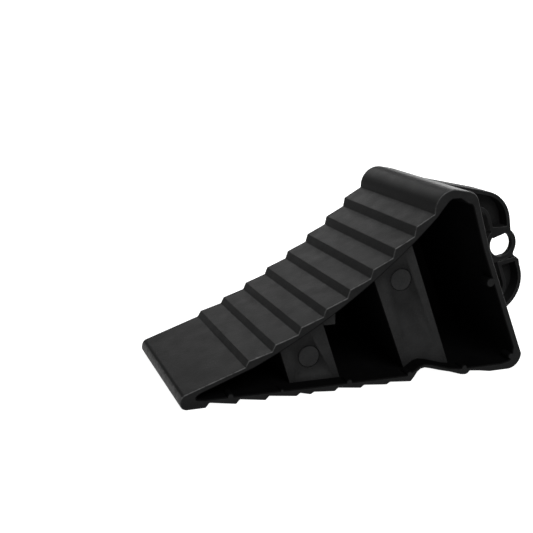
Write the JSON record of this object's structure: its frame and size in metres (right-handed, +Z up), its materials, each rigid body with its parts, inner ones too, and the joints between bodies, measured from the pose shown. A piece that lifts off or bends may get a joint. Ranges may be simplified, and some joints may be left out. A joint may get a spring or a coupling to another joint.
{
  "type": "wheel chock",
  "caption": "Hollow ribbed plastic wheel chock with a concave stepped ramp, a rounded crown, a saw-toothed sole and a moulded carry handle with a rope eye.",
  "frame": {"origin": "centre of the footprint on the ground, at mid length and mid width of the overall box", "axes": "+X from the toe to the handle, +Y from the near side (the side with the two closed cells and the rope eye) to the far side, +Z up"},
  "size_m": [0.233, 0.1, 0.1105],
  "materials": {
    "shell_plastic": "satin black injection-moulded polypropylene with a fine grain",
    "core_plastic": "matt black injection-moulded polypropylene",
    "handle_plastic": "satin black injection-moulded polypropylene"
  },
  "bodies": {
    "root": {"toe_nose": "shell_plastic", "ramp_deck": "shell_plastic", "crown": "shell_plastic", "back_wall": "shell_plastic", "heel": "shell_plastic", "sole_front": "shell_plastic", "sole_arch": "shell_plastic", "sole_heel": "shell_plastic", "rib_1": "core_plastic", "rib_2": "core_plastic", "rib_3": "core_plastic", "rib_4": "core_plastic", "near_web_front": "core_plastic", "near_web_rear": "core_plastic", "far_web_toe": "core_plastic", "far_web_middle": "core_plastic", "far_web_rear": "core_plastic", "ramp_gusset": "core_plastic", "ejector_pads": "shell_plastic", "handle_outer_flange": "handle_plastic", "handle_inner_flange": "handle_plastic", "handle_web_upper": "handle_plastic", "handle_web_lower": "handle_plastic", "handle_bar_upper": "handle_plastic", "handle_bar_lower": "handle_plastic", "rope_eye": "handle_plastic"}
  },
  "joints": []
}
